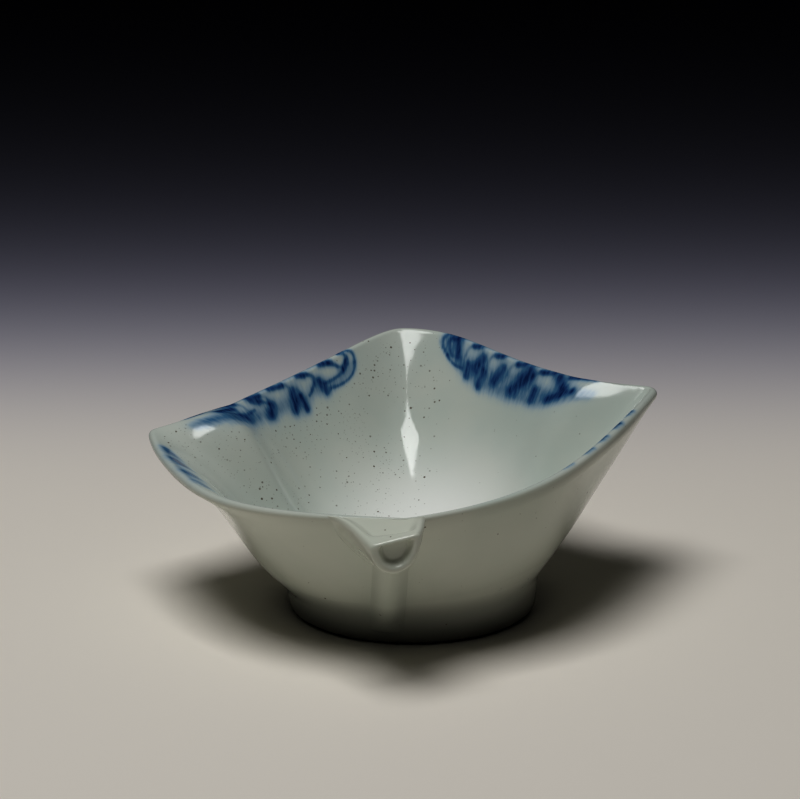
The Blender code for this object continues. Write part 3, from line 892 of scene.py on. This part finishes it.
# %% Mixer
class Mixer:
    """Adds shader nodes to one material and joins them."""

    def __init__(self, name):
        self.material = bpy.data.materials.new(name)
        self.material.use_nodes = True
        self.tree = self.material.node_tree
        self.shader = self.tree.nodes["Principled BSDF"]

    def add(self, kind, inputs=None, **settings):
        """A node of a kind. Inputs that are sockets are joined, others are set."""
        node = self.tree.nodes.new("ShaderNode" + kind)
        for name, value in settings.items():
            setattr(node, name, value)
        for key, value in (inputs or {}).items():
            self.set(node.inputs[key], value)
        return node

    def set(self, socket, value):
        """Join a socket to another one, or give it a constant."""
        if isinstance(value, bpy.types.NodeSocket):
            self.tree.links.new(value, socket)
        else:
            socket.default_value = value

    def noise(self, vector, scale, detail):
        """Cloudy values about a half."""
        return self.add("TexNoise", {"Vector": vector, "Scale": scale, "Detail": detail}).outputs["Fac"]

    def span(self, value, low, high, to_low=0.0, to_high=1.0, smooth=False):
        """A value's range stretched to another one, evenly or with smooth ends."""
        kind = "SMOOTHSTEP" if smooth else "LINEAR"
        inputs = {"Value": value, "From Min": low, "From Max": high}
        inputs |= {"To Min": to_low, "To Max": to_high}
        return self.add("MapRange", inputs, interpolation_type=kind).outputs["Result"]

    def clouds(self, vector, plan, to_low=0.0, to_high=1.0):
        """Noise by a plan of scale, detail and the range that is stretched to another one."""
        scale, detail, low, high = plan
        return self.span(self.noise(vector, scale, detail), low, high, to_low, to_high)

    def math(self, operation, first, second):
        """Two values put together by an operation."""
        return self.add("Math", {0: first, 1: second}, operation=operation).outputs[0]

    def blend(self, part, first, second):
        """Two colours mixed by a part from 0 to 1."""
        return self.add("Mix", {0: part, 6: first, 7: second}, data_type="RGBA").outputs[2]

    def attribute(self, name, output="Fac"):
        """What the points of a piece have stored under a name."""
        return self.add("Attribute", attribute_name=name).outputs[output]


# %% [markdown]
# The glaze is uneven: a slow mottle, fine ripples and iron specks from the clay, most of them on the
# left inside. A paler patch in the well is a painted pool of light, and foot and rib are painted
# darker near the table, as painted shade. Cobalt lies under the glaze, so it changes the colour and
# leaves the gloss alone.

# %% Glaze
# One glaze in two tints, each with a cool and a warm end for the mottle. The outside is painted paler
# and warmer, as painted light, and the inside darker, as painted shade.
GLAZE_COOL = (0.585, 0.645, 0.595, 1.0)
GLAZE_WARM = (0.645, 0.68, 0.62, 1.0)
OUTSIDE_COOL = (0.645, 0.685, 0.60, 1.0)
OUTSIDE_WARM = (0.69, 0.715, 0.63, 1.0)
# Depths below the lip where the outside's colour turns into the inside's.
LIP_BLEND = (-1.5, 0.0)
# Painted light: a paler pool in the well, with its colour, middle and radius.
POOL_PALE = (0.92, 0.93, 0.90, 1.0)
POOL_MIDDLE = tuple(place(np.array((3.0, 17.0, FLOOR_HEIGHT))) * MM)
POOL_RADIUS = 0.029
# Painted shade: foot and rib turn to this dark colour towards the table, up to this height.
FOOT_STAIN = (0.03, 0.028, 0.017, 1.0)
STAIN_HEIGHT = 0.0095
SPECK_BROWN = (0.10, 0.075, 0.045, 1.0)
# Share of cells with a speck. Between these places along the rim and depths few become many.
SPECKS_FEW, SPECKS_MANY = 0.02, 0.9
SPECKS_ALONG, SPECKS_BELOW = (12.0, -6.0), (0.0, 5.0)
# Two layers of specks: cells to the metre, and how dark the darkest is. Sizes are parts of a cell.
SPECK_LAYERS = ((1000.0, 0.95), (1700.0, 0.5))
SPECK_SIZES = (0.07, 0.23)
PALEST_PART = 0.45
# Noises: scale, detail, and the range that is stretched. Streaks lie on the flat map.
MOTTLE = (55.0, 3.0, 0.35, 0.65)
PATCHES = (90.0, 2.0, 0.38, 0.62)
STREAKS = (1.5, 4.0, 0.3, 0.7)
GLOSS = (180.0, 2.0, 0.3, 0.7)
RIPPLE_SCALE, RIPPLE_DETAIL, RIPPLE_STRENGTH = 260.0, 1.0, 0.04
STREAK_SLANT, STREAK_STRETCH = (0.0, 0.0, 0.6), (1.0, 0.22, 1.0)
STREAK_STRENGTHS = (0.74, 1.14)
ROUGHNESS = (0.07, 0.13)
SPECULAR = 0.45
COBALT_STOPS = ((0.0, (0.60, 0.67, 0.63, 1.0)), (0.25, (0.36, 0.48, 0.56, 1.0)),
                (0.55, (0.075, 0.20, 0.345, 1.0)), (0.8, (0.025, 0.09, 0.235, 1.0)),
                (1.0, (0.008, 0.028, 0.115, 1.0)))
COBALT_COVERS = 0.2


def inside_glaze(mix, spot, rim, mottle, color):
    """Colour of the bowl's glaze, with a painted pool of light in the well, and its share of specks,
    from the outside's colour.
    """
    along, below, _ = mix.add("SeparateXYZ", {"Vector": rim}).outputs
    inner = mix.blend(mottle, GLAZE_COOL, GLAZE_WARM)
    color = mix.blend(mix.span(below, *LIP_BLEND), color, inner)
    far = mix.add("VectorMath", {0: spot, 1: POOL_MIDDLE}, operation="DISTANCE").outputs["Value"]
    # Painted light: the glaze turns paler round the well's middle, where the light gathers.
    color = mix.blend(mix.span(far, 0.0, POOL_RADIUS, 1.0, 0.0, smooth=True), color, POOL_PALE)
    left_inside = mix.math("MULTIPLY", mix.span(along, *SPECKS_ALONG), mix.span(below, *SPECKS_BELOW))
    dense = mix.math("MULTIPLY", left_inside, mix.clouds(spot, PATCHES))
    return color, mix.span(dense, 0.0, 1.0, SPECKS_FEW, SPECKS_MANY)


def specks(mix, spot, color, density):
    """Iron specks over a colour: in some of the cells a dot, each with its own size and darkness."""
    for scale, darkest in SPECK_LAYERS:
        cells = mix.add("TexVoronoi", {"Vector": spot, "Scale": scale})
        chance = mix.add("SeparateColor", {"Color": cells.outputs["Color"]})
        size = mix.span(chance.outputs["Green"], 0.0, 1.0, *SPECK_SIZES)
        speck = mix.math("LESS_THAN", cells.outputs["Distance"], size)
        speck = mix.math("MULTIPLY", speck, mix.math("LESS_THAN", chance.outputs["Red"], density))
        dark = mix.span(chance.outputs["Blue"], 0.0, 1.0, PALEST_PART * darkest, darkest)
        color = mix.blend(mix.math("MULTIPLY", speck, dark), color, SPECK_BROWN)
    return color


def paint(mix, rim, color):
    """Cobalt over a colour: its strength, streaked along the brush, picks a blue."""
    slanted = mix.add("Mapping", {"Vector": rim, "Rotation": STREAK_SLANT, "Scale": STREAK_STRETCH})
    streaks = mix.clouds(slanted.outputs["Vector"], STREAKS, *STREAK_STRENGTHS)
    strength = mix.math("MULTIPLY", mix.attribute("cobalt"), streaks)
    ramp = mix.add("ValToRGB", {"Fac": strength})
    while len(ramp.color_ramp.elements) < len(COBALT_STOPS):
        ramp.color_ramp.elements.new(0.5)
    for element, (position, stop) in zip(ramp.color_ramp.elements, COBALT_STOPS):
        element.position, element.color = position, stop
    return mix.blend(mix.span(strength, 0.0, COBALT_COVERS), color, ramp.outputs["Color"])


def glaze(name, painted=False, stained=False):
    """Glazed porcelain. The painted bowl has its own inside, and pieces with painted shade darken
    towards the table.
    """
    mix = Mixer(name)
    spot = mix.add("TexCoord").outputs["Object"]
    mottle = mix.clouds(spot, MOTTLE)
    # Painted light: every piece starts from the outside's paler, warmer tint.
    color, density = mix.blend(mottle, OUTSIDE_COOL, OUTSIDE_WARM), SPECKS_FEW
    if stained:
        # Painted shade: the colour darkens towards the table, where the foot stands in shadow.
        height = mix.add("SeparateXYZ", {"Vector": spot}).outputs["Z"]
        color = mix.blend(mix.span(height, 0.0, STAIN_HEIGHT), FOOT_STAIN, color)
    if painted:
        rim = mix.attribute("rim_place", "Vector")
        color, density = inside_glaze(mix, spot, rim, mottle, color)
    color = specks(mix, spot, color, density)
    if painted:
        color = paint(mix, rim, color)
    mix.set(mix.shader.inputs["Base Color"], color)
    mix.set(mix.shader.inputs["Roughness"], mix.clouds(spot, GLOSS, *ROUGHNESS))
    mix.shader.inputs["Specular IOR Level"].default_value = SPECULAR
    ripple = mix.noise(spot, RIPPLE_SCALE, RIPPLE_DETAIL)
    bump = mix.add("Bump", {"Height": ripple, "Strength": RIPPLE_STRENGTH, "Distance": MM})
    mix.set(mix.shader.inputs["Normal"], bump.outputs["Normal"])
    print(name, len(mix.tree.nodes), "nodes")
    return mix.material


for piece, node, slot in (
    (bowl, "bowl", "bowl_glaze"),
    (foot_ring, "foot_ring", "foot_glaze"),
    (stub, "stalk_stub", "stub_glaze"),
    (rib, "stalk_rib", "rib_glaze"),
):
    piece.data.materials.append(glaze(slot, painted=piece is bowl, stained=piece in (foot_ring, rib)))
    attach(piece, "root")
    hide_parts(node)

# %% [markdown]
# ## Floor and light
# The dish stands on a pale sheet whose colour is painted dark behind it, as painted shade. What is
# left of the sheet's light is 1 / (1 + (distance behind / reach)^power), and the sheet turns bluer as
# it fades, a painted tint of the dim light.

# %% Floor
FLOOR_SIZE = 4000.0
SHEET_PALE = (0.84, 0.80, 0.735, 1.0)
SHEET_FAR = (0.65, 0.65, 0.90, 1.0)
SHEET_DARK = (0.0, 0.0, 0.0, 1.0)
SHADE_REACH = 0.1823
SHADE_POWER = 4.6
SHEET_ROUGHNESS = 0.9

corners = np.array([(-1, -1, 0), (1, -1, 0), (1, 1, 0), (-1, 1, 0)]) * FLOOR_SIZE / 2 * MM
floor_mesh = bpy.data.meshes.new("floor")
floor_mesh.from_pydata(corners.tolist(), [], [(0, 1, 2, 3)])
floor = add_object("floor", floor_mesh)
sheet = Mixer("pale_sheet")
spot = sheet.add("TexCoord").outputs["Object"]
back = sheet.math("MAXIMUM", sheet.add("SeparateXYZ", {"Vector": spot}).outputs["Y"], 0.0)
fall = sheet.math("POWER", sheet.math("DIVIDE", back, SHADE_REACH), SHADE_POWER)
# Painted shade: the sheet's colour fades to dark, and bluer, behind the dish.
light_left = sheet.math("DIVIDE", 1.0, sheet.math("ADD", fall, 1.0))
tint = sheet.blend(light_left, SHEET_FAR, SHEET_PALE)
sheet.set(sheet.shader.inputs["Base Color"], sheet.blend(light_left, SHEET_DARK, tint))
sheet.shader.inputs["Roughness"].default_value = SHEET_ROUGHNESS
sheet.shader.inputs["Specular IOR Level"].default_value = 0.0
floor_mesh.materials.append(sheet.material)
print("sheet half dark", round(SHADE_REACH / MM), "mm behind the middle")

# %% [markdown]
# One soft box hangs overhead, a little towards the camera and to the left. It lights the inside,
# leaves the outside to the light that the sheet throws back, and makes the highlight in the
# crease.

# %% Light
BOX_SIZE = 520.0
BOX_DISTANCE = 1000.0
BOX_WAY = Vector((-0.155, -0.115, 0.98)).normalized()
BOX_POWER = 7.25
ROOM_DARK = (0.001, 0.001, 0.0015, 1.0)
PICTURE_GAMMA = 0.75

box_light = bpy.data.lights.new("soft_box", "AREA")
box_light.shape = "SQUARE"
box_light.size = BOX_SIZE * MM
box_light.energy = BOX_POWER
soft_box = add_object("soft_box", box_light)
soft_box.location = BOX_WAY * BOX_DISTANCE * MM
soft_box.rotation_euler = BOX_WAY.to_track_quat("Z", "Y").to_euler()
world = bpy.data.worlds.new("dark_room")
world.use_nodes = True
world.node_tree.nodes["Background"].inputs["Color"].default_value = ROOM_DARK
bpy.context.scene.world = world
bpy.context.scene.view_settings.view_transform = "Standard"
bpy.context.scene.view_settings.gamma = PICTURE_GAMMA
print("soft box at", [round(x, 3) for x in soft_box.location], "m")
